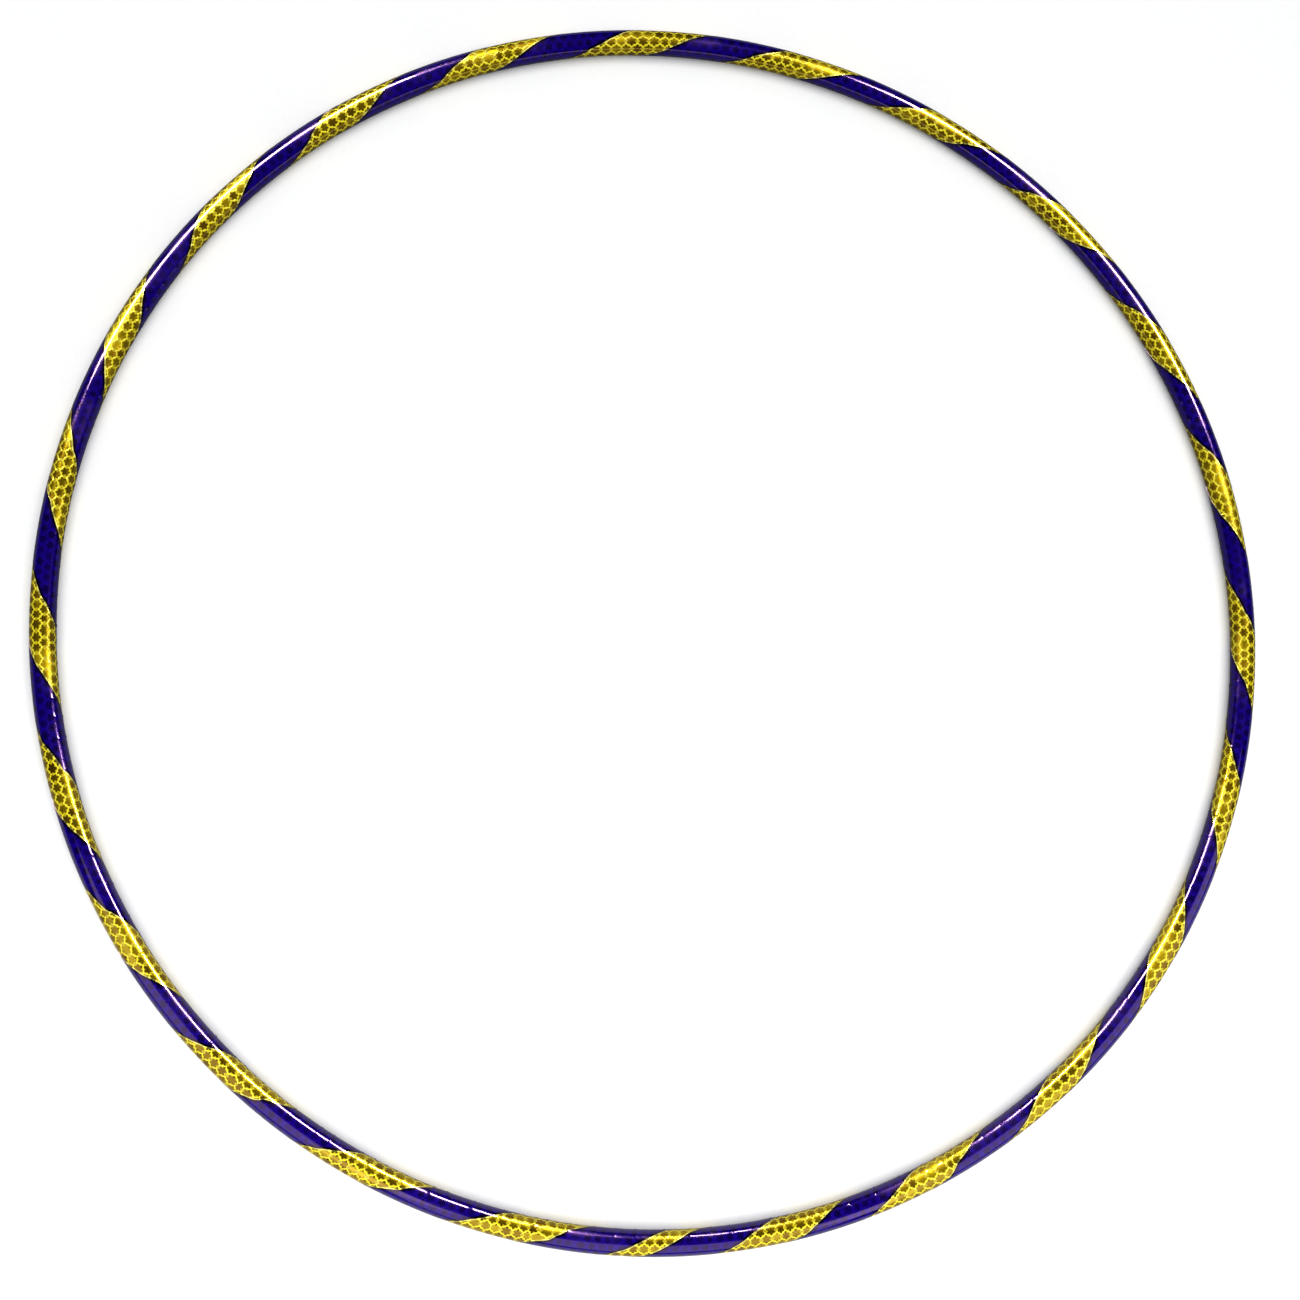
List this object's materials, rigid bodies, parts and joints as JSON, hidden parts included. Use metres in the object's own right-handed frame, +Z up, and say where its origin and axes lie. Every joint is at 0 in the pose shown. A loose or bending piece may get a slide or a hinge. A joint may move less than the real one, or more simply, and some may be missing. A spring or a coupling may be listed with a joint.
{
  "type": "rhythmic gymnastics hoop",
  "caption": "Round gymnastics hoop: a plastic tube closed by an inner connector and rivets, wound with gold film and a dark violet spiral tape.",
  "frame": {"origin": "centre of the hoop, on the plane it lies on", "axes": "+Z up, along the hoop's axis, with the hoop lying flat; -Y passes through the join of the tube"},
  "size_m": [0.8336, 0.8335, 0.017],
  "materials": {
    "tube_plastic": "smooth extruded polyethylene",
    "connector_plastic": "smooth extruded plastic",
    "rivet_aluminium": "satin",
    "mandrel_steel": "drawn",
    "gold_film": "metallised gold film with an embossed pattern of small stars",
    "violet_film": "high-gloss dark violet film"
  },
  "bodies": {
    "root": {"hoop_tube": "tube_plastic", "join_connector": "connector_plastic", "rivet_left": "rivet_aluminium", "rivet_right": "rivet_aluminium", "rivet_mandrel_left": "mandrel_steel", "rivet_mandrel_right": "mandrel_steel", "base_tape": "gold_film", "top_tape": "violet_film"}
  },
  "joints": []
}
